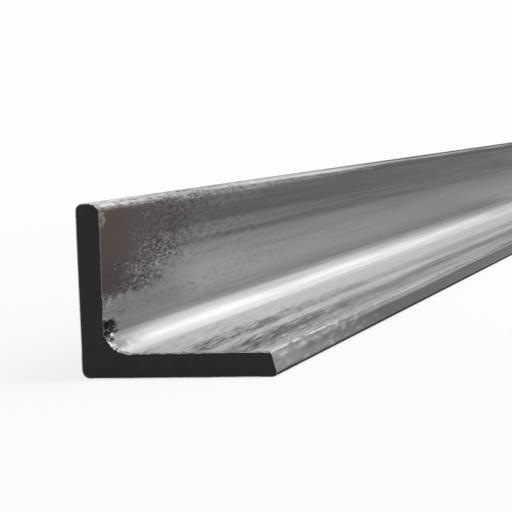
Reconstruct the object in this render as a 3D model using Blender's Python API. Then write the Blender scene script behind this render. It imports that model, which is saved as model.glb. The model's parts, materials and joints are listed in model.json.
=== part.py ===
"""Hot-rolled steel angle bar, unequal leg, 4 x 3-1/2 x 1/2 in, in a 6 ft length.

The bar is one rolled piece. It lies on the outer face of its long leg, with the short leg standing
up at -X, and runs along Y. The origin is under the middle of the bar, on the face it rests on.
Metres, +Z up.
"""

import math

import bmesh
import bpy

# Nominal size of the section and the length it is cut to
LONG_LEG = 0.1016
SHORT_LEG = 0.0889
THICKNESS = 0.0127
BAR_LENGTH = 1.8288

# Radii that the rolls leave on the section
ROOT_RADIUS = 0.0127
HEEL_RADIUS = 0.0045
SHORT_TOE_INNER_RADIUS = 0.0054
SHORT_TOE_OUTER_RADIUS = 0.0038
LONG_TOE_INNER_RADIUS = 0.0018
LONG_TOE_OUTER_RADIUS = 0.0034

# How far the long leg's toe leans back towards its inner face
LONG_TOE_LEAN = 0.0034

# Flats that a corner's rounding leaves on the wall beside it
LEAST_TOE_FLAT = 0.0008
LEAST_LEG_FLAT = 0.004

# Number of straight steps in each rounding
ROOT_STEPS = 16
SHORT_TOE_INNER_STEPS = 10
LONG_TOE_INNER_STEPS = 6
TOE_OUTER_STEPS = 8
HEEL_STEPS = 8

SMOOTH_ANGLE = 0.45


def clear_scene():
    for obj in list(bpy.data.objects):
        bpy.data.objects.remove(obj, do_unlink=True)


def toe_radii(outer, inner):
    """Outer and inner radius of a toe, held inside the wall that carries them."""
    toe_room = THICKNESS - LEAST_TOE_FLAT
    outer = min(outer, toe_room / 2)
    return outer, min(inner, toe_room - outer)


def section_corners():
    """The L's six sharp corners in the XZ plane, heel first: place, radius and steps of the rounding."""
    back = -LONG_LEG / 2
    long_outer, long_inner = toe_radii(LONG_TOE_OUTER_RADIUS, LONG_TOE_INNER_RADIUS)
    short_outer, short_inner = toe_radii(SHORT_TOE_OUTER_RADIUS, SHORT_TOE_INNER_RADIUS)
    lean = min(LONG_TOE_LEAN, THICKNESS / 2)
    slope = lean / math.hypot(lean, THICKNESS)
    # The rounding takes the tip off a leaning toe, so its sharp corner stands out by as much
    tip = back + LONG_LEG + long_outer * (1 + slope - math.hypot(1, slope))
    leg_room = min(LONG_LEG - lean, SHORT_LEG) - THICKNESS - max(long_inner, short_inner)
    root = min(ROOT_RADIUS, leg_room - LEAST_LEG_FLAT)
    heel = min(HEEL_RADIUS, THICKNESS)
    return [
        ((back, 0), heel, HEEL_STEPS),
        ((tip, 0), long_outer, TOE_OUTER_STEPS),
        ((tip - lean, THICKNESS), long_inner, LONG_TOE_INNER_STEPS),
        ((back + THICKNESS, THICKNESS), root, ROOT_STEPS),
        ((back + THICKNESS, SHORT_LEG), short_inner, SHORT_TOE_INNER_STEPS),
        ((back, SHORT_LEG), short_outer, TOE_OUTER_STEPS),
    ]


def rolled_section(bm, y):
    """The bar's cross-section as one flat face at y, with every corner rounded."""
    corners = section_corners()
    verts = [bm.verts.new((x, y, z)) for (x, z), _, _ in corners]
    bm.faces.new(verts)
    for vert, (_, radius, steps) in zip(verts, corners):
        bmesh.ops.bevel(
            bm,
            geom=[vert],
            offset=radius,
            offset_type="OFFSET",
            segments=steps,
            profile=0.5,
            affect="VERTICES",
            clamp_overlap=False,
            material=-1,
        )
    return bm.faces[:]


def extrude_along_bar(bm, section, length):
    """Draws the section out to the bar's length and leaves a flat cut face at each end."""
    drawn = bmesh.ops.extrude_face_region(bm, geom=section, use_keep_orig=True)
    moved = [item for item in drawn["geom"] if isinstance(item, bmesh.types.BMVert)]
    bmesh.ops.translate(bm, verts=moved, vec=(0, length, 0))
    bmesh.ops.recalc_face_normals(bm, faces=bm.faces[:])


def steel(name, colour, roughness, metallic):
    material = bpy.data.materials.new(name)
    material.use_nodes = True
    shader = material.node_tree.nodes["Principled BSDF"]
    shader.inputs["Base Color"].default_value = (*colour, 1.0)
    shader.inputs["Roughness"].default_value = roughness
    shader.inputs["Metallic"].default_value = metallic
    return material


def angle_bar():
    bm = bmesh.new()
    section = rolled_section(bm, -BAR_LENGTH / 2)
    extrude_along_bar(bm, section, BAR_LENGTH)
    for face in bm.faces:
        face.material_index = 1 if abs(face.normal.y) > 0.5 else 0
    mesh = bpy.data.meshes.new("angle_bar")
    bm.to_mesh(mesh)
    bm.free()
    mesh.materials.append(steel("rolled_steel", (0.33, 0.32, 0.32), 0.38, 0.9))
    mesh.materials.append(steel("cut_end", (0.024, 0.021, 0.022), 0.65, 0.2))
    mesh.shade_smooth()
    mesh.set_sharp_from_angle(angle=SMOOTH_ANGLE)
    bar = bpy.data.objects.new("angle_bar", mesh)
    bpy.context.scene.collection.objects.link(bar)
    return bar


clear_scene()
angle_bar()
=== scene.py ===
# %% [markdown]
# # A hot-rolled steel angle bar
# The real object is one length of steel that came red hot out of a rolling mill. Its section is an
# L: a long leg that lies on the floor, and a shorter leg that stands up at the back. This lesson
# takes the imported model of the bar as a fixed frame, and makes the bar that the eye should see
# around it: the rolls' waves, the scale, the stains and the two sawn ends.

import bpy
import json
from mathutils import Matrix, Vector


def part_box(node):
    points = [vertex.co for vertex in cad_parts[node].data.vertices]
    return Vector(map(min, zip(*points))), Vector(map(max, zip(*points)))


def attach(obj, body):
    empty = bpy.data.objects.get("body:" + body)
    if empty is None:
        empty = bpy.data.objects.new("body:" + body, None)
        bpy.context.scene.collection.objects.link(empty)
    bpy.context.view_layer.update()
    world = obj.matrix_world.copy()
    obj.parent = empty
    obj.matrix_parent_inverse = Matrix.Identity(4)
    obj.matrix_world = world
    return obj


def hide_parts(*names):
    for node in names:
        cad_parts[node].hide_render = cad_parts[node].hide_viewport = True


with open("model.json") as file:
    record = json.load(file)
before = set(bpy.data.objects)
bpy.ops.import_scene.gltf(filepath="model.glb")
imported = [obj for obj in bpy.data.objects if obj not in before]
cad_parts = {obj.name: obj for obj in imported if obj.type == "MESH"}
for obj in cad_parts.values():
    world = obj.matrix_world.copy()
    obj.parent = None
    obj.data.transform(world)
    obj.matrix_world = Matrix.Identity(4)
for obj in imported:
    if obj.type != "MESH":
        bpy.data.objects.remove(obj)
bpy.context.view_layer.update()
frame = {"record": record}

# %% Bring in Blender's modules
import json
import math

import bmesh
import bpy
from mathutils import Matrix, Vector, noise

# %% [markdown]
# ## Sizes come from the frame
# The outer sizes could be typed in again, but then two files would have to agree. They are read
# from the model's box instead, and the steel's thickness from the place of a mount that lies on the
# inner face of the long leg. Only the roundings have no place in the frame, so they are named here.

# %% Read the bar's sizes
MM = 0.001
low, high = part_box("angle_bar")
mounts = {mount["name"]: mount for mount in frame["record"]["mounts"]}
wall = mounts["long_leg_inner_face"]["pos_m"][2]
near_y, far_y = low.y, high.y
bar_length = far_y - near_y

root_radius = 12.7 * MM
heel_radius = 4.5 * MM
short_toe_inner, short_toe_outer = 5.4 * MM, 3.8 * MM
long_toe_inner, long_toe_outer = 1.8 * MM, 3.4 * MM
long_toe_lean = 3.4 * MM
print(f"legs {(high.x - low.x) / MM:.1f} and {high.z / MM:.1f} mm, {wall / MM:.1f} mm thick")

# %% [markdown]
# ## The section
# A rolled angle has a generous fillet in its root, where the legs meet, and toes that are rounded
# because the rolls must let go of the bar. The toe of the long leg also leans back a little. It
# could all be drawn with arcs point by point. It is easier to read as six sharp corners, each
# rounded by a vertex bevel, with the flats then cut into cells that are fine where the light will
# show the surface and coarse behind.

# %% Round the corners of an L
root_steps, heel_steps = 28, 8
short_toe_steps, long_toe_steps, outer_toe_steps = 14, 8, 8
seen_cell = 1.6 * MM
hidden_cell = 5 * MM


def sharp_corners():
    """Corners of the L, heel first, each with the radius and steps of its rounding."""
    slope = long_toe_lean / math.hypot(long_toe_lean, wall)
    tip = high.x + long_toe_outer * (1 + slope - math.hypot(1, slope))
    return [
        ((low.x, 0), heel_radius, heel_steps),
        ((tip, 0), long_toe_outer, outer_toe_steps),
        ((tip - long_toe_lean, wall), long_toe_inner, long_toe_steps),
        ((low.x + wall, wall), root_radius, root_steps),
        ((low.x + wall, high.z), short_toe_inner, short_toe_steps),
        ((low.x, high.z), short_toe_outer, outer_toe_steps),
    ]


def draw_section(bm, y):
    """One flat L-shaped face at y, with rounded corners and its flats cut into cells."""
    corners = sharp_corners()
    verts = [bm.verts.new((x, y, z)) for (x, z), _, _ in corners]
    bm.faces.new(verts)
    for vert, (_, radius, steps) in zip(verts, corners):
        bmesh.ops.bevel(
            bm, geom=[vert], offset=radius, offset_type="OFFSET", segments=steps,
            profile=0.5, affect="VERTICES", clamp_overlap=False, material=-1,
        )
    for edge in list(bm.edges):
        middle = (edge.verts[0].co + edge.verts[1].co) / 2
        hidden = middle.x < low.x + 1 * MM or middle.z < 1 * MM
        cuts = round(edge.calc_length() / (hidden_cell if hidden else seen_cell)) - 1
        if cuts > 0:
            bmesh.ops.subdivide_edges(bm, edges=[edge], cuts=cuts)


# %% [markdown]
# ## Drawing the bar out
# The mill makes the bar by drawing one section through the rolls, and so does the script: the rim
# of the face is extruded stretch by stretch, and each stretch is cut into rows. The rows lie close
# near the ends, where chips and pits need them, and far apart in the middle, which keeps the
# whole bar well under the limit on faces.

# %% Extrude the rim in stretches
near_stretches = [(24 * MM, 0.8 * MM), (166 * MM, 1.8 * MM), (210 * MM, 3.5 * MM)]
far_stretches = [(100 * MM, 3.5 * MM), (20 * MM, 1.25 * MM)]
middle_row = 12 * MM


def stretches():
    """Length of each stretch from the near end to the far one, with its distance between rows."""
    middle = bar_length - sum(length for length, _ in near_stretches + far_stretches)
    return near_stretches + [(middle, middle_row)] + far_stretches


def draw_out(bm):
    """Extrudes the section's rim along the bar and closes the far end."""
    rim = list(bm.edges)
    for length, row in stretches():
        drawn = bmesh.ops.extrude_edge_only(bm, edges=rim)["geom"]
        moved = [item for item in drawn if isinstance(item, bmesh.types.BMVert)]
        bmesh.ops.translate(bm, verts=moved, vec=(0, length, 0))
        front = set(moved)
        rim = [edge for vert in moved for edge in vert.link_edges if front.issuperset(edge.verts)]
        rim = list(dict.fromkeys(rim))
        sides = {edge for vert in moved for edge in vert.link_edges} - set(rim)
        cuts = round(length / row) - 1
        bmesh.ops.subdivide_edges(bm, edges=list(sides), cuts=cuts, use_grid_fill=True)
    bmesh.ops.edgeloop_fill(bm, edges=rim)
    bmesh.ops.recalc_face_normals(bm, faces=bm.faces[:])


# %% [markdown]
# ## The sawn ends
# A saw leaves a flat face with a thin broken edge around it. A bevel of the rim would also turn
# the corner of every long edge, so the end face is inset instead, and its old rim is pushed back
# along the bar a little. The ring between them catches a line of light, as a deburred cut does.

# %% Break the edges of both ends
break_width = 0.35 * MM
break_depth = 0.25 * MM


def end_faces(bm):
    """The two flat faces across the bar."""
    return [face for face in bm.faces if abs(face.normal.y) > 0.99 and len(face.verts) > 4]


def break_end_edges(bm):
    for face in end_faces(bm):
        back = -break_depth if face.normal.y > 0 else break_depth
        rim = list(face.verts)
        bmesh.ops.inset_region(bm, faces=[face], thickness=break_width, use_even_offset=True)
        bmesh.ops.translate(bm, verts=rim, vec=(0, back, 0))


# %% [markdown]
# ## Waves, tooth and pits
# Nothing that leaves a hot mill is dead flat. The rolls leave long shallow waves along the bar,
# and the scale has a fine tooth. Both are moved into the mesh, always inwards, so that the bar
# stays inside its real size. Near the cut, flakes have broken out of the root, and those pits are
# deep enough to show a dark inside. The saw has also left the inner rim of that end a bit ragged.

# %% Move the surface in
wave_depth, wave_across, wave_along = 0.07 * MM, 16 * MM, 220 * MM
tooth_depth, tooth_across, tooth_along = 0.025 * MM, 2.6 * MM, 9 * MM
pit_depth, pit_across, pit_along = 0.5 * MM, 1.6 * MM, 9 * MM
pit_reach = 22 * MM
pit_low, pit_high = 18 * MM, 29 * MM
rag_depth, rag_size, rag_reach = 0.35 * MM, 1.3 * MM, 5 * MM


def share(value, start, end):
    """0 at start and 1 at end, eased in between, whichever of the two is larger."""
    t = min(max((value - start) / (end - start), 0.0), 1.0)
    return t * t * (3 - 2 * t)


def depth_at(co):
    """How far the surface lies under the true section at a point."""
    wave = noise.noise((co.x / wave_across, co.y / wave_along, co.z / wave_across))
    tooth = noise.noise((co.x / tooth_across, co.y / tooth_along, co.z / tooth_across + 7))
    depth = wave_depth * (0.5 + 0.5 * wave) + tooth_depth * (0.5 + 0.5 * tooth)
    from_end = co.y - near_y
    in_root = low.x + 5 * MM < co.x < low.x + wall + root_radius
    if from_end < pit_reach and in_root and pit_low < co.z < pit_high:
        flake = noise.noise((co.x / pit_across, co.y / pit_along, co.z / pit_across + 3))
        here = share(from_end, pit_reach, pit_reach / 3) * share(co.z, pit_high, pit_high - 3 * MM)
        here *= share(co.z, pit_low, pit_low + 3 * MM)
        depth += pit_depth * here * share(flake, -0.1, 0.4)
    if from_end < rag_reach and co.x > low.x + 5 * MM and co.z > 5 * MM:
        rag = noise.noise((co.x / rag_size, 5, co.z / rag_size))
        depth += rag_depth * share(from_end, rag_reach, 0.0) * share(rag, -0.1, 0.4)
    return depth


def move_surface_in(bm):
    bm.normal_update()
    moves = [(vert, vert.normal.copy()) for vert in bm.verts]
    for vert, normal in moves:
        normal.y = 0
        if normal.length > 0.1:
            vert.co -= normal.normalized() * depth_at(vert.co)


# %% Build the rolled bar
STEEL, CUT = 0, 1
sharp_from = math.radians(35)


def rolled_bar():
    bm = bmesh.new()
    draw_section(bm, near_y)
    draw_out(bm)
    move_surface_in(bm)
    break_end_edges(bm)
    bm.normal_update()
    for face in bm.faces:
        face.material_index = CUT if abs(face.normal.y) > 0.9 else STEEL
        face.smooth = True
    mesh = bpy.data.meshes.new("rolled_bar")
    bm.to_mesh(mesh)
    bm.free()
    mesh.set_sharp_from_angle(angle=sharp_from)
    bar = bpy.data.objects.new("rolled_bar", mesh)
    bpy.context.scene.collection.objects.link(bar)
    return bar


bar = rolled_bar()
bar.data.calc_loop_triangles()
print(f"the bar has {len(bar.data.loop_triangles)} triangles")

# %% [markdown]
# ## Tools for the materials
# Colours are written as the hex values that a painter would pick, and turned to the linear light
# that the shader counts in. One small function adds a node with its settings and links, and gives
# back its outputs. The patterns all start from one place: millimetres from the heel of the near
# end, across, along and up. Across less up runs over the inside of the L like a tape measure, from
# the top toe through the root to the other toe, so one number says where on the skin a streak lies.

# %% Colour and node helpers
EASED = {"interpolation_type": "SMOOTHSTEP"}


def linear(hex_colour):
    """An sRGB hex colour as linear red, green, blue and alpha."""
    parts = [int(hex_colour[i : i + 2], 16) / 255 for i in (1, 3, 5)]
    return (*(p / 12.92 if p <= 0.04045 else ((p + 0.055) / 1.055) ** 2.4 for p in parts), 1.0)


def add_node(tree, kind, inputs, **settings):
    """Adds a node and returns its outputs. An input is a value, or another node's output to link."""
    node = tree.nodes.new("ShaderNode" + kind)
    for name, value in settings.items():
        setattr(node, name, value)
    for socket, value in inputs.items():
        if isinstance(value, bpy.types.NodeSocket):
            tree.links.new(value, node.inputs[socket])
        else:
            node.inputs[socket].default_value = value
    return node.outputs


def new_material(name):
    """A material with only an output and a Principled shader: the material, its tree, the shader."""
    material = bpy.data.materials.new(name)
    material.use_nodes = True
    return material, material.node_tree, material.node_tree.nodes["Principled BSDF"]


# %% Places and patterns on the bar
def bar_place(tree):
    """The point in mm from the heel of the near end: the whole vector, across, along and up."""
    coordinates = add_node(tree, "TexCoord", {})
    start = Vector((low.x, near_y, 0)) / MM
    inputs = {0: coordinates["Object"], 1: (1 / MM,) * 3, 2: -start}
    place = add_node(tree, "VectorMath", inputs, operation="MULTIPLY_ADD")[0]
    parts = add_node(tree, "SeparateXYZ", {0: place})
    return place, parts[0], parts[1], parts[2]


def grain(tree, place, across, along, detail=3.0, roughness=0.55, shift=0.0):
    """Noise about 0.5 whose patches are so many mm across and along the bar."""
    scale = (1 / across, 1 / along, 1 / across)
    moved = add_node(tree, "Mapping", {"Vector": place, "Location": (shift,) * 3, "Scale": scale})[0]
    inputs = {"Vector": moved, "Scale": 1.0, "Detail": detail, "Roughness": roughness}
    return add_node(tree, "TexNoise", inputs)["Fac"]


def band(tree, value, start, end, soft, soft_end=None):
    """1 between start and end and 0 outside, with edges that are soft wide on either side."""
    soft_end = soft_end or soft
    rise = add_node(tree, "MapRange", {0: value, 1: start - soft, 2: start + soft}, **EASED)[0]
    fall = add_node(tree, "MapRange", {0: value, 1: end + soft_end, 2: end - soft_end}, **EASED)[0]
    return add_node(tree, "Math", {0: rise, 1: fall}, operation="MULTIPLY")[0]


# %% [markdown]
# ## Streaks that the rolls leave
# The scale is pressed and dragged by the rolls, so its tone changes in bands that run the whole
# length: a dark one under the top toe, a thin one below it, and two along the level leg. Each is a
# band on the skin's tape measure, which wanders a millimetre or two. Fine noise stretched a hundred
# times longer than wide draws the lines inside them. Away from the cut the toes get darker, and so
# each band has two strengths: one at the cut, and how much it gains on the way to the far end. A
# number below 0 makes its band lighter. Two bands shape the root's painted highlight instead: away
# from the cut it reaches further up the root's upper edge and dims in the middle. Right at the cut
# the level leg is painted a little lighter too, as painted light.

# %% Roll streaks
streak_across, streak_along = 3.0, 320
wander_mm = 4.0
far_from, far_to = 150, 1400
# Painted light: the level leg is painted lighter right at the cut.
glow_by_cut = -0.18

# Start, end and softness on the skin in mm, strength at the cut, and gain towards the far end
roll_bands = (
    (-76, -57, 2.5, 0.79, 0.20),
    (-60, -50, 3.0, 0.58, 0.20),
    (-49.5, -44.5, 2.4, 0.66, 0.00),
    (-98, -79, 1.5, 0.12, 1.40),
    (-80, -70, 1.5, -0.12, 0.24),
    (-98, -38, 6.0, 0.00, 0.25),
    (-79.5, -77, 1.0, 0.28, 0.00),
    (-47, -24, 6.0, 0.09, -0.06),
    (-9.5, -2, 2.5, 0.24, 0.00),
    # These two rows are painted highlight of the root: away from the cut it reaches up and dims in the
    # middle.
    (-13, -7.5, 2.0, 0.00, -0.50),
    (-3, 9, 4.0, 0.00, 0.33),
    (38, 49, 4.0, 0.34, 0.00),
    (46, 61, 4.0, 0.08, 0.12),
    (60, 73, 4.0, 0.80, -0.12),
    (74, 83, 3.0, 0.36, 0.40),
    (84, 87.5, 1.0, 0.36, 0.50),
    (87, 91.5, 1.0, 0.55, 0.40),
)


def roll_streaks(tree, place, skin, along):
    """How dark the scale is, from 0 to 1, and the fine streaks alone."""
    streaks = grain(tree, place, streak_across, streak_along, detail=4)
    broad = grain(tree, place, 9, 500, detail=2, shift=21)
    flecks = grain(tree, place, 2.6, 12, detail=5, roughness=0.65, shift=61)
    inputs = {0: streaks, 1: wander_mm, 2: -wander_mm / 2}
    drift = add_node(tree, "Math", inputs, operation="MULTIPLY_ADD")[0]
    skin = add_node(tree, "Math", {0: skin, 1: drift}, operation="ADD")[0]
    far = add_node(tree, "MapRange", {0: along, 1: far_from, 2: far_to})[0]
    dark = 0.0
    for start, end, soft, strength, farther in roll_bands:
        more = add_node(tree, "Math", {0: far, 1: farther, 2: strength}, operation="MULTIPLY_ADD")[0]
        inputs = {0: band(tree, skin, start, end, soft), 1: more, 2: dark}
        dark = add_node(tree, "Math", inputs, operation="MULTIPLY_ADD")[0]
    toe = add_node(tree, "MapRange", {0: along, 1: 20, 2: 320, 3: -0.12, 4: 1.0})[0]
    inputs = {0: band(tree, skin, 91, 110, 1.5), 1: toe, 2: dark}
    dark = add_node(tree, "Math", inputs, operation="MULTIPLY_ADD")[0]
    by_cut = add_node(tree, "MapRange", {0: along, 1: 45, 2: 15, 4: glow_by_cut}, **EASED)[0]
    inputs = {0: band(tree, skin, 34, 84, 3), 1: by_cut, 2: dark}
    dark = add_node(tree, "Math", inputs, operation="MULTIPLY_ADD")[0]
    fleck_share = add_node(tree, "MapRange", {0: along, 1: 120, 2: 420, 3: 1.0, 4: 0.2})[0]
    on_wall = band(tree, skin, -100, -16, 4)
    fleck_share = add_node(tree, "Math", {0: fleck_share, 1: on_wall}, operation="MULTIPLY")[0]
    flecks = add_node(tree, "MapRange", {0: flecks, 1: 0.3, 2: 0.7, 3: -0.38, 4: 0.38})[0]
    dark = add_node(tree, "Math", {0: flecks, 1: fleck_share, 2: dark}, operation="MULTIPLY_ADD")[0]
    for lines, weakest, strongest in ((streaks, -0.16, 0.16), (broad, -0.14, 0.14)):
        inputs = {0: lines, 1: 0.3, 2: 0.7, 3: weakest, 4: strongest}
        lines = add_node(tree, "MapRange", inputs)[0]
        dark = add_node(tree, "Math", {0: dark, 1: lines}, operation="ADD")[0]
    return dark, streaks


# %% [markdown]
# ## Mottles on the level leg
# Wet stock in a rack leaves darker patches where water stood on the level leg. They are longest
# along the bar and lean a little across it, and have ragged edges. They keep to two lanes, with
# fainter strokes of the same lean over the whole leg. Away from the cut the fine texture goes
# first, and only the soft lanes are left.

# %% Mottles
mottle_across, mottle_along = 2.1, 17.0
mottle_lean = math.radians(-6)


def water_mottles(tree, place, skin, along):
    """Where the level leg has a dark ragged patch, and where light scale shows between, from 0 to 1."""
    leaning = add_node(tree, "Mapping", {"Vector": place, "Rotation": (0, 0, mottle_lean)})[0]
    patches = grain(tree, leaning, mottle_across, mottle_along, detail=5, roughness=0.68, shift=5)
    clouds = grain(tree, leaning, 8, 55, detail=2, shift=51)
    strokes = grain(tree, leaning, 2.6, 48, detail=4, roughness=0.6, shift=101)
    inner = band(tree, skin, 36, 50, 4)
    outer = band(tree, skin, 57, 76, 5)
    outer = add_node(tree, "Math", {0: outer, 1: 0.70}, operation="MULTIPLY")[0]
    toe = add_node(tree, "Math", {0: band(tree, skin, 88, 108, 3), 1: 0.2}, operation="MULTIPLY")[0]
    lanes = add_node(tree, "Math", {0: inner, 1: outer}, operation="MAXIMUM")[0]
    lanes = add_node(tree, "Math", {0: lanes, 1: toe}, operation="MAXIMUM")[0]
    near = add_node(tree, "MapRange", {0: along, 1: 80, 2: 360, 3: 0.11, 4: -0.08}, **EASED)[0]
    level = add_node(tree, "Math", {0: clouds, 1: 0.5, 2: near}, operation="MULTIPLY_ADD")[0]
    level = add_node(tree, "Math", {0: patches, 1: level}, operation="ADD")[0]
    dark = add_node(tree, "MapRange", {0: level, 1: 0.77, 2: 1.06}, **EASED)[0]
    soft = add_node(tree, "MapRange", {0: clouds, 1: 0.42, 2: 0.64, 4: 0.42}, **EASED)[0]
    light = add_node(tree, "MapRange", {0: level, 1: 0.75, 2: 0.58, 4: 0.45}, **EASED)[0]
    wet = add_node(tree, "MapRange", {0: along, 1: 600, 2: 200, 3: 0.1}, **EASED)[0]
    fine = add_node(tree, "MapRange", {0: along, 1: 340, 2: 110, 3: 0.1}, **EASED)[0]
    dark = add_node(tree, "Math", {0: dark, 1: fine}, operation="MULTIPLY")[0]
    soft = add_node(tree, "Math", {0: soft, 1: wet}, operation="MULTIPLY")[0]
    dark = add_node(tree, "Math", {0: dark, 1: soft}, operation="MAXIMUM")[0]
    dark = add_node(tree, "Math", {0: dark, 1: lanes}, operation="MULTIPLY")[0]
    inputs = {0: band(tree, skin, 18, 82, 5), 1: fine}
    light_zone = add_node(tree, "Math", inputs, operation="MULTIPLY")[0]
    light = add_node(tree, "Math", {0: light, 1: light_zone}, operation="MULTIPLY")[0]
    inputs = {0: band(tree, skin, 16, 104, 4), 1: fine}
    brushed = add_node(tree, "Math", inputs, operation="MULTIPLY")[0]
    for_dark = add_node(tree, "MapRange", {0: strokes, 1: 0.5, 2: 0.68, 4: 0.42}, **EASED)[0]
    for_light = add_node(tree, "MapRange", {0: strokes, 1: 0.48, 2: 0.3, 4: 0.5}, **EASED)[0]
    dark = add_node(tree, "Math", {0: for_dark, 1: brushed, 2: dark}, operation="MULTIPLY_ADD")[0]
    light = add_node(tree, "Math", {0: for_light, 1: brushed, 2: light}, operation="MULTIPLY_ADD")[0]
    return dark, light


# %% [markdown]
# ## The brown stain and its speckle
# Heat from the saw has turned the upright leg brown near the cut, and violet lower down. The stain
# is solid at first and then breaks up into specks over a hand's breadth. Its edge could be a soft
# ramp, but the real one is dithered: a speck of noise stays brown as long as it is higher than a
# limit that rises with the distance from the cut. Light specks of clean scale do the same from
# the other side, and a few black ones lie between. Out there the brown itself has faded.

# %% Stain and specks
speck_across, speck_along = 1.1, 4.8
stain_foot = 39


def stain_and_specks(tree, place, inside, along, up):
    """How brown the scale is, how many light and black specks it has, and the specks' noise."""
    solid = add_node(tree, "Math", {0: up, 1: 0.9, 2: -18.0}, operation="MULTIPLY_ADD")[0]
    fading = add_node(tree, "Math", {0: up, 1: 1.5, 2: 12.0}, operation="MULTIPLY_ADD")[0]
    past = add_node(tree, "Math", {0: along, 1: solid}, operation="SUBTRACT")[0]
    faded = add_node(tree, "Math", {0: past, 1: fading}, operation="DIVIDE")[0]
    clouds = grain(tree, place, 6, 14, detail=3, shift=31)
    tongues = grain(tree, place, 5, 60, detail=2, shift=71)
    for shapes, size in ((clouds, 0.8), (tongues, 0.8)):
        faded = add_node(tree, "Math", {0: shapes, 1: size, 2: faded}, operation="MULTIPLY_ADD")[0]
        faded = add_node(tree, "Math", {0: faded, 1: size / 2}, operation="SUBTRACT")[0]

    specks = grain(tree, place, speck_across, speck_along, detail=4, roughness=0.75, shift=11)
    limit = add_node(tree, "MapRange", {0: faded, 1: -0.35, 2: 1.9, 3: 0.23, 4: 0.79})[0]
    over = add_node(tree, "Math", {0: specks, 1: limit}, operation="SUBTRACT")[0]
    brown = add_node(tree, "MapRange", {0: over, 1: -0.17, 2: 0.17}, **EASED)[0]

    foot = add_node(tree, "Math", {0: clouds, 1: 16.0, 2: up}, operation="MULTIPLY_ADD")[0]
    foot = add_node(tree, "MapRange", {0: foot, 1: stain_foot + 5, 2: stain_foot + 12}, **EASED)[0]
    under_toe = add_node(tree, "MapRange", {0: up, 1: 87, 2: 84}, **EASED)[0]
    clean = add_node(tree, "MapRange", {0: along, 1: 260, 2: 190}, **EASED)[0]
    for mask in (foot, inside, under_toe, clean):
        brown = add_node(tree, "Math", {0: brown, 1: mask}, operation="MULTIPLY")[0]

    zone = band(tree, faded, 0.2, 1.4, 0.25, 0.7)
    above = add_node(tree, "MapRange", {0: up, 1: 36, 2: 42}, **EASED)[0]
    zone = add_node(tree, "Math", {0: zone, 1: above}, operation="MULTIPLY")[0]
    by_cut = add_node(tree, "MapRange", {0: along, 1: 60, 2: 10}, **EASED)[0]
    by_cut = add_node(tree, "Math", {0: by_cut, 1: band(tree, up, 28, 42, 4)}, operation="MULTIPLY")[0]
    zone = add_node(tree, "Math", {0: zone, 1: by_cut}, operation="MAXIMUM")[0]
    zone = add_node(tree, "Math", {0: zone, 1: inside}, operation="MULTIPLY")[0]
    brightest = add_node(tree, "MapRange", {0: up, 1: 74, 2: 54, 3: 0.13, 4: 0.36}, **EASED)[0]
    light = grain(tree, place, 1.2, 5.0, detail=4, roughness=0.75, shift=17)
    light = add_node(tree, "MapRange", {0: light, 1: 0.47, 2: 0.64, 4: brightest}, **EASED)[0]
    black = grain(tree, place, 1.2, 6.5, detail=4, roughness=0.75, shift=27)
    black = add_node(tree, "MapRange", {0: black, 1: 0.46, 2: 0.64, 4: 0.66}, **EASED)[0]
    light = add_node(tree, "Math", {0: light, 1: zone}, operation="MULTIPLY")[0]
    for mask in (zone, band(tree, faded, 0.3, 1.3, 0.3, 0.7)):
        black = add_node(tree, "Math", {0: black, 1: mask}, operation="MULTIPLY")[0]
    brown = add_node(tree, "Math", {0: zone, 1: 0.26, 2: brown}, operation="MULTIPLY_ADD")[0]
    return brown, light, black, specks


# %% [markdown]
# ## Chips beside the cut
# The saw has knocked flakes of scale off beside the root, which leaves black holes, the deepest with
# bright steel in their middle. Their black is partly painted shadow, spread around the chips on the
# root. It has also bared a hair's breadth of steel all round the rim. One noise draws the flakes: the
# higher its limit, the smaller the flake. Three black pits, two bright crumbs on the rim of the root
# and a rubbed nick under the top toe have places of their own.

# %% Chips
# Each place is a centre and a size in mm: across, along and up
nick, nick_size = (12.7, 3.0, 80.5), (6, 11, 7)
pits = (
    ((12.7, 28.0, 56.0), (3, 2.2, 0.7)),
    ((12.7, 42.0, 57.0), (3, 2.2, 0.7)),
    ((14.3, 8.0, 19.3), (3, 5, 1.3)),
)
crumbs = (
    ((13.2, 12.0, 21.6), (3, 6, 1.5)),
    ((16.3, 4.5, 16.3), (3, 7, 2.2)),
)


def spot(tree, place, centre, size):
    """1 in the middle of a small ellipsoid around a place in mm, and 0 outside it."""
    scale = tuple(1 / s for s in size)
    offset = tuple(-c / s for c, s in zip(centre, size))
    moved = add_node(tree, "VectorMath", {0: place, 1: scale, 2: offset}, operation="MULTIPLY_ADD")[0]
    away = add_node(tree, "VectorMath", {0: moved}, operation="LENGTH")["Value"]
    return add_node(tree, "MapRange", {0: away, 1: 1.0, 2: 0.4}, **EASED)[0]


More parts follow.
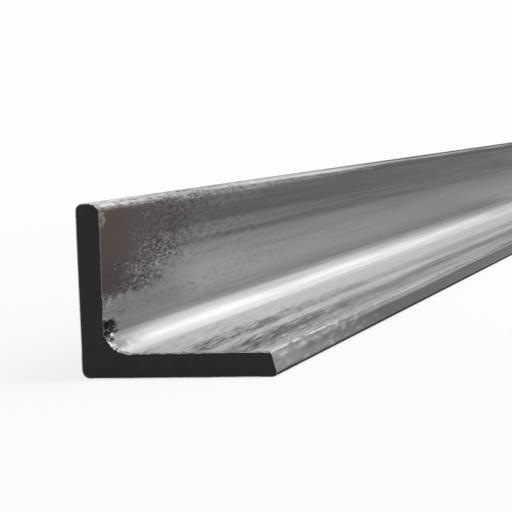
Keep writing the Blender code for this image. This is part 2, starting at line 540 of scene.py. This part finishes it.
def cut_chips(tree, place, inside, along, up):
    """Black chips near the cut, partly painted shadow, and where bright steel shows."""
    flakes = grain(tree, place, 1.6, 8.0, detail=4, roughness=0.7, shift=41)
    chips = []
    on_wall, in_root = band(tree, up, 20, 30, 2.5), band(tree, up, 11.5, 20, 1.5)
    for zone, reach, limit in ((on_wall, 44, 0.85), (in_root, 14, 0.97), (in_root, 14, 1.05)):
        near = add_node(tree, "MapRange", {0: along, 1: reach, 2: 0})[0]
        here = add_node(tree, "Math", {0: zone, 1: near}, operation="MULTIPLY")[0]
        here = add_node(tree, "Math", {0: here, 1: inside}, operation="MULTIPLY")[0]
        here = add_node(tree, "Math", {0: here, 1: 0.6, 2: flakes}, operation="MULTIPLY_ADD")[0]
        chip = add_node(tree, "MapRange", {0: here, 1: limit - 0.03, 2: limit + 0.03}, **EASED)[0]
        chips.append(chip)
    # The black of the chips and pits also stands for painted shadow around the chips.
    holes_and_shadow = add_node(tree, "Math", {0: chips[0], 1: chips[1]}, operation="MAXIMUM")[0]
    bright = chips[2]
    for centre, size in pits:
        here = spot(tree, place, centre, size)
        holes_and_shadow = add_node(tree, "Math", {0: holes_and_shadow, 1: here}, operation="MAXIMUM")[0]
    for centre, size in crumbs:
        here = spot(tree, place, centre, size)
        here = add_node(tree, "Math", {0: here, 1: 0.4, 2: flakes}, operation="MULTIPLY_ADD")[0]
        here = add_node(tree, "MapRange", {0: here, 1: 0.78, 2: 0.92, 4: 0.8}, **EASED)[0]
        bright = add_node(tree, "Math", {0: bright, 1: here}, operation="MAXIMUM")[0]
    here = spot(tree, place, nick, nick_size)
    patchy = add_node(tree, "Math", {0: here, 1: 0.45, 2: flakes}, operation="MULTIPLY_ADD")[0]
    patchy = add_node(tree, "MapRange", {0: patchy, 1: 0.74, 2: 1.08, 4: 0.38}, **EASED)[0]
    rim = add_node(tree, "MapRange", {0: along, 1: 0.7, 2: 0.3, 4: 0.25}, **EASED)[0]
    for mask in (rim, patchy):
        bright = add_node(tree, "Math", {0: bright, 1: mask}, operation="MAXIMUM")[0]
    return holes_and_shadow, bright


# %% [markdown]
# ## Hot-rolled steel with mill scale
# The steel cools in air and grows a skin of iron oxide, the mill scale: a grey that is half metal,
# half stone. On the upright leg it is tight, and shines like a dark metal. On the level leg and on
# top it is looser and chalky, so those faces are mostly plain light grey with a little metal. The
# root has less metal too, and its light grey is a painted highlight where it turns the light, with
# a paler band that dims away from the cut. Clean metal turns to a mirror when it is seen along its
# face and oxide much less so, which the Specular Tint of a metal sets. The colours go on in layers,
# each through its mask: first the zones of the section and their painted highlights, then darker
# patches and painted shade by the cut, streaks and mottles, then the rims, the painted highlight
# along the long leg's toe and the painted shade along its foot, and last the stain and the chips
# with their painted shadow.

# %% Colours of the scale
scale_grey = linear("#a4a2a2")
scale_level = linear("#c8c6c6")
# Painted highlight: the root's light grey stands in for the light the root turns.
root_highlight = linear("#d2d0d0")
# Painted highlight: the palest band in the root, and the light line along the long leg's toe.
highlight_pale = linear("#f4f2f2")
scale_low = linear("#d4d2d2")
scale_bright = linear("#e6e4e4")
scale_top = linear("#e4e2e2")
# Painted highlight on the inner rounding of the top toe.
rounding_highlight = linear("#dcdada")
scale_dull = linear("#8e8c8c")
# Dark grey for the streaks, and for the painted shade on the root's upper edge by the cut.
streak_and_shade_dark = linear("#5c5a5b")
scale_green = linear("#a0a4a0")
mottle_black = linear("#4c494a")
stain_brown = linear("#594e49")
stain_violet = linear("#52484d")
stain_faded = linear("#585051")
bare_steel = linear("#d0cecc")
# Black of specks and chips; also painted shadow by the chips and painted shade at the long toe's foot.
chip_black_and_shade = linear("#1a1718")
edge_near, edge_far, edge_rim = linear("#bcbcbc"), linear("#a2a2a2"), linear("#707070")


# %% Zones, wear and edges
def section_zones(tree, skin, along):
    """Masks of the L's zones of tone, among them painted highlights in the root and on a rounding."""
    low_wall = band(tree, skin, -30, -12.5, 11, 2.5)
    low_wall = add_node(tree, "Math", {0: low_wall, 1: 0.8}, operation="MULTIPLY")[0]
    # Painted highlight: far from the cut the root's highlight reaches up its upper edge.
    far_root_highlight = add_node(tree, "MapRange", {0: along, 1: 180, 2: 600, 4: 0.5}, **EASED)[0]
    inputs = {0: far_root_highlight, 1: band(tree, skin, -12.5, -7, 2)}
    far_root_highlight = add_node(tree, "Math", inputs, operation="MULTIPLY")[0]
    level = band(tree, skin, 8, 91, 6, 1)
    # Painted highlight on the inner rounding of the top toe.
    rounding = add_node(tree, "MapRange", {0: skin, 1: -70, 2: -72}, **EASED)[0]
    top = add_node(tree, "MapRange", {0: skin, 1: -78, 2: -81}, **EASED)[0]
    # Painted highlight in the root, with a paler middle band that dims away from the cut.
    root = band(tree, skin, -4.5, 15, 4.5, 6)
    dimmer = add_node(tree, "MapRange", {0: along, 1: 300, 2: 1500, 3: 1.0, 4: 0.3})[0]
    inputs = {0: band(tree, skin, 1, 14, 3, 6), 1: dimmer}
    pale = add_node(tree, "Math", inputs, operation="MULTIPLY")[0]
    return low_wall, far_root_highlight, level, rounding, top, root, pale


def patches_shade_and_grime(tree, place, skin, along):
    """Darker patches on the root's painted highlight, painted shade above them, and grime on top."""
    # The root's painted highlight is made darker in patches near the cut.
    patchy = grain(tree, place, 5, 16, detail=4, roughness=0.65, shift=81)
    patchy = add_node(tree, "MapRange", {0: patchy, 1: 0.22, 2: 0.52}, **EASED)[0]
    by_cut = add_node(tree, "MapRange", {0: along, 1: 75, 2: 5}, **EASED)[0]
    for mask in (by_cut, band(tree, skin, -9, 4, 3)):
        patchy = add_node(tree, "Math", {0: patchy, 1: mask}, operation="MULTIPLY")[0]
    # Painted shade on the root's upper edge near the cut.
    shade = add_node(tree, "MapRange", {0: along, 1: 150, 2: 20, 4: 0.55}, **EASED)[0]
    inputs = {0: shade, 1: band(tree, skin, -11.5, -5, 2)}
    shade = add_node(tree, "Math", inputs, operation="MULTIPLY")[0]
    grime = grain(tree, place, 2.2, 26, detail=4, roughness=0.7, shift=91)
    grime = add_node(tree, "MapRange", {0: grime, 1: 0.47, 2: 0.64, 4: 0.7}, **EASED)[0]
    on_top = add_node(tree, "MapRange", {0: along, 1: 350, 2: 120}, **EASED)[0]
    inputs = {0: band(tree, skin, -84, -75, 2), 1: on_top}
    on_top = add_node(tree, "Math", inputs, operation="MULTIPLY")[0]
    grime = add_node(tree, "Math", {0: grime, 1: on_top}, operation="MULTIPLY")[0]
    return patchy, shade, grime


def edge_lines(tree, place, skin, across, along, up):
    """The dark rim of the top, the painted highlight along the long leg's toe and the painted shade at
    its foot.
    """
    top_edge = add_node(tree, "MapRange", {0: along, 1: 20, 2: 300, 3: 0.2, 4: 0.85}, **EASED)[0]
    for start, end, value in ((7.5, 4.0, across), (84, 87, up)):
        mask = add_node(tree, "MapRange", {0: value, 1: start, 2: end}, **EASED)[0]
        top_edge = add_node(tree, "Math", {0: top_edge, 1: mask}, operation="MULTIPLY")[0]
    # Painted highlight along the long leg's toe, strongest near the cut and broken by noise.
    toe_highlight = add_node(tree, "MapRange", {0: along, 1: 220, 2: 80, 3: 0.1, 4: 0.6}, **EASED)[0]
    line_breaks = grain(tree, place, 4, 22, detail=3, shift=111)
    line_breaks = add_node(tree, "MapRange", {0: line_breaks, 1: 0.36, 2: 0.54}, **EASED)[0]
    for mask in (line_breaks, band(tree, skin, 84.4, 86.6, 0.8)):
        toe_highlight = add_node(tree, "Math", {0: toe_highlight, 1: mask}, operation="MULTIPLY")[0]
    # Painted shade along the foot of the long leg's toe, where it meets the floor.
    foot_shade = add_node(tree, "MapRange", {0: up, 1: 3.0, 2: 1.8, 4: 0.9}, **EASED)[0]
    foot_shade = add_node(tree, "Math", {0: foot_shade, 1: band(tree, skin, 92, 120, 2)}, operation="MULTIPLY")[0]
    return top_edge, toe_highlight, foot_shade


# %% Make the mill scale
tooth_bump = {"Strength": 0.25, "Distance": 0.2 * MM}


def mill_scale():
    material, tree, shader = new_material("hot_rolled_mill_scale")
    place, across, along, up = bar_place(tree)
    skin = add_node(tree, "Math", {0: across, 1: up}, operation="SUBTRACT")[0]

    dark, streaks = roll_streaks(tree, place, skin, along)
    mottle, between = water_mottles(tree, place, skin, along)
    inside = add_node(tree, "MapRange", {0: across, 1: 6, 2: 9}, **EASED)[0]
    brown, light, black, specks = stain_and_specks(tree, place, inside, along, up)
    holes_and_shadow, bright = cut_chips(tree, place, inside, along, up)

    green = add_node(tree, "MapRange", {0: along, 1: 200, 2: 100}, **EASED)[0]
    for mask in (band(tree, up, 28, 56, 8), inside):
        green = add_node(tree, "Math", {0: green, 1: mask}, operation="MULTIPLY")[0]
    stain = add_node(tree, "MapRange", {0: up, 1: 52, 2: 64}, **EASED)[0]
    fringe = add_node(tree, "MapRange", {0: along, 1: 30, 2: 65}, **EASED)[0]
    stain = add_node(tree, "Mix", {0: stain, 6: stain_violet, 7: stain_brown}, data_type="RGBA")[2]
    stain = add_node(tree, "Mix", {0: fringe, 6: stain, 7: stain_faded}, data_type="RGBA")[2]
    zones = section_zones(tree, skin, along)
    low_wall, far_root_highlight, level, rounding, top, root, pale = zones
    patchy, shade, grime = patches_shade_and_grime(tree, place, skin, along)
    top_edge, toe_highlight, foot_shade = edge_lines(tree, place, skin, across, along, up)
    colour = scale_grey
    for mask, over in (
        (low_wall, scale_low),
        # Painted highlight: the root's highlight reaches up its upper edge far from the cut.
        (far_root_highlight, root_highlight),
        (green, scale_green),
        (level, scale_level),
        # Painted highlight on the top toe's inner rounding.
        (rounding, rounding_highlight),
        (top, scale_top),
        # Painted highlight in the root and its paler middle band.
        (root, root_highlight),
        (pale, highlight_pale),
        # The root's painted highlight made darker in patches near the cut.
        (patchy, scale_dull),
        # Painted shade on the root's upper edge near the cut.
        (shade, streak_and_shade_dark),
        (dark, streak_and_shade_dark),
        (mottle, mottle_black),
        (between, scale_bright),
        # Painted highlight along the long leg's toe.
        (toe_highlight, highlight_pale),
        (grime, mottle_black),
        (top_edge, streak_and_shade_dark),
        # Painted shade along the foot of the long leg's toe.
        (foot_shade, chip_black_and_shade),
        (brown, stain),
        (light, scale_bright),
        (black, chip_black_and_shade),
        # Black chips and pits, with painted shadow around the chips.
        (holes_and_shadow, chip_black_and_shade),
        (bright, bare_steel),
    ):
        colour = add_node(tree, "Mix", {0: mask, 6: colour, 7: over}, data_type="RGBA")[2]

    rough = add_node(tree, "MapRange", {0: streaks, 1: 0.3, 2: 0.7, 3: 0.19, 4: 0.27})[0]
    for mask, more in ((level, 0.14), (root, 0.10), (rounding, 0.22), (brown, 0.2), (mottle, 0.15)):
        rough = add_node(tree, "Math", {0: mask, 1: more, 2: rough}, operation="MULTIPLY_ADD")[0]
    metal = 1.0
    for mask, metallic in ((level, 0.3), (root, 0.6), (rounding, 0.1), (foot_shade, 0.0)):
        metal = add_node(tree, "Mix", {0: mask, 2: metal, 3: metallic})[0]
    edge = add_node(tree, "MapRange", {0: along, 1: 200, 2: 1400})[0]
    edge = add_node(tree, "Mix", {0: edge, 6: edge_near, 7: edge_far}, data_type="RGBA")[2]
    edge = add_node(tree, "Mix", {0: top_edge, 6: edge, 7: edge_rim}, data_type="RGBA")[2]

    tooth = grain(tree, place, 0.8, 2.0, detail=2, shift=3)
    height = add_node(tree, "Math", {0: tooth, 1: 0.4, 2: specks}, operation="MULTIPLY_ADD")[0]
    bump = add_node(tree, "Bump", {"Height": height, **tooth_bump})[0]

    tree.links.new(colour, shader.inputs["Base Color"])
    tree.links.new(metal, shader.inputs["Metallic"])
    tree.links.new(rough, shader.inputs["Roughness"])
    tree.links.new(edge, shader.inputs["Specular Tint"])
    tree.links.new(bump, shader.inputs["Normal"])
    shader.inputs["Specular IOR Level"].default_value = 0.0
    return material


# %% [markdown]
# ## The black cut end
# The sawn face is coated with a dull black, which hides the bright metal under it. It is no metal
# to the eye: a dark colour, a high roughness and a low specular level, with the faintest saw lines.

# %% Make the black cut
cut_black = linear("#2b2728")
saw_bump = {"Strength": 0.1, "Distance": 0.2 * MM}


def black_cut():
    material, tree, shader = new_material("black_cut_end")
    place = bar_place(tree)[0]
    saw = grain(tree, place, 6, 6, detail=3)
    rough = add_node(tree, "MapRange", {0: saw, 1: 0.3, 2: 0.7, 3: 0.60, 4: 0.72})[0]
    bump = add_node(tree, "Bump", {"Height": saw, **saw_bump})[0]
    shader.inputs["Base Color"].default_value = cut_black
    shader.inputs["Specular IOR Level"].default_value = 0.2
    tree.links.new(rough, shader.inputs["Roughness"])
    tree.links.new(bump, shader.inputs["Normal"])
    return material


# %% Put the bar together
bar.data.materials.append(mill_scale())
bar.data.materials.append(black_cut())
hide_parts("angle_bar")
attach(bar, "root")
print("materials:", [slot.material.name for slot in bar.material_slots])

# %% [markdown]
# ## Floor, background and light
# The bar lies on a plain pale floor under a plain white sky. The camera, mirrors and glass see
# both as white, while the rest of their light is dimmer, so that a colour renders as it is written.
# A wide soft lamp hangs over the open side of the L, so that its light falls into the root. A
# second one stands far behind the far end, also on that side, where the curve of the root mirrors
# it as one long bright band, over the root's painted highlight.

# %% Lay the floor
floor_size = 60.0
shadow_near, shadow_far = 0.25, 0.9
shadow_stretch = 0.45
glow_by_bar = 0.75
floor_paint = (0.95, 0.95, 0.95, 1)
white = linear("#fdfdfd")


def seen_directly(tree):
    """1 for the rays of the camera, of mirrors and of glass, and 0 for the rest."""
    rays = add_node(tree, "LightPath", {})
    seen = rays["Is Camera Ray"]
    for other in ("Is Glossy Ray", "Is Transmission Ray"):
        seen = add_node(tree, "Math", {0: seen, 1: rays[other]}, operation="MAXIMUM")[0]
    return seen


def pale_floor():
    """Pale paint that keeps the bar's shadow close to it and fades to the white of the sky."""
    material, tree, shader = new_material("pale_floor")
    shader.inputs["Base Color"].default_value = floor_paint
    shader.inputs["Roughness"].default_value = 0.9
    place = add_node(tree, "TexCoord", {})["Object"]
    place = add_node(tree, "Mapping", {"Vector": place, "Scale": (1, shadow_stretch, 1)})[0]
    away = add_node(tree, "VectorMath", {0: place}, operation="LENGTH")["Value"]
    inputs = {0: away, 1: shadow_near, 2: shadow_far, 3: glow_by_bar, 4: 1.0}
    fade = add_node(tree, "MapRange", inputs, **EASED)[0]
    seen = add_node(tree, "Math", {0: seen_directly(tree), 1: fade}, operation="MULTIPLY")[0]
    glow = add_node(tree, "Emission", {"Color": white, "Strength": 1.0})[0]
    mix = add_node(tree, "MixShader", {0: seen, 1: shader.outputs[0], 2: glow})[0]
    tree.links.new(mix, tree.nodes["Material Output"].inputs[0])
    return material


def floor():
    bm = bmesh.new()
    bmesh.ops.create_grid(bm, x_segments=1, y_segments=1, size=floor_size / 2)
    mesh = bpy.data.meshes.new("studio_floor")
    bm.to_mesh(mesh)
    bm.free()
    mesh.materials.append(pale_floor())
    sheet = bpy.data.objects.new("studio_floor", mesh)
    bpy.context.scene.collection.objects.link(sheet)


floor()

# %% Light the room
sky_strength = 0.35


def sky():
    world = bpy.data.worlds.new("studio_sky")
    world.use_nodes = True
    tree = world.node_tree
    tree.nodes.clear()
    light = add_node(tree, "Background", {"Color": (1, 1, 1, 1), "Strength": sky_strength})[0]
    glow = add_node(tree, "Background", {"Color": white, "Strength": 1.0})[0]
    mix = add_node(tree, "MixShader", {0: seen_directly(tree), 1: light, 2: glow})[0]
    add_node(tree, "OutputWorld", {0: mix})
    bpy.context.scene.world = world


def soft_lamp(name, place, target, width, height, brightness):
    """A rectangular lamp whose face is as bright as brightness, where 1 is white."""
    data = bpy.data.lights.new(name, "AREA")
    data.shape = "RECTANGLE"
    data.size, data.size_y = width, height
    data.energy = brightness * math.pi * width * height
    lamp = bpy.data.objects.new(name, data)
    aim = Vector(target) - Vector(place)
    lamp.matrix_world = Matrix.Translation(place) @ aim.to_track_quat("-Z", "Y").to_matrix().to_4x4()
    lamp.visible_camera = False
    bpy.context.scene.collection.objects.link(lamp)


sky()
middle = (0, 0, 0)
soft_lamp("overhead_softbox", (1.3, 0.0, 2.1), middle, width=2.4, height=3.2, brightness=2.7)
soft_lamp("far_softbox", (1.75, 9.0, 2.3), middle, width=4.5, height=2.7, brightness=2.0)

# %% [markdown]
# ## The camera
# The bar is seen almost along its length, from low down and from far away with a long lens, so
# that the cut end looks square on. The turn, tilt and roll were found by laying the section's outline
# over the photographed one.

# %% Set up the camera
lens = 160.0
turn, tilt, roll = math.radians(13.96), math.radians(3.40), math.radians(-2.24)
eye = Vector((0.3135, near_y - 1.0911, 0.1271))
nearest_seen, farthest_seen = 0.05, 60


def camera():
    data = bpy.data.cameras.new("camera")
    data.lens = lens
    data.clip_start = nearest_seen
    data.clip_end = farthest_seen
    viewer = bpy.data.objects.new("camera", data)
    turned = Matrix.Rotation(turn, 4, "Z") @ Matrix.Rotation(math.pi / 2 - tilt, 4, "X")
    viewer.matrix_world = Matrix.Translation(eye) @ turned @ Matrix.Rotation(roll, 4, "Z")
    bpy.context.scene.collection.objects.link(viewer)
    bpy.context.scene.camera = viewer


camera()
bpy.context.scene.view_settings.view_transform = "Standard"
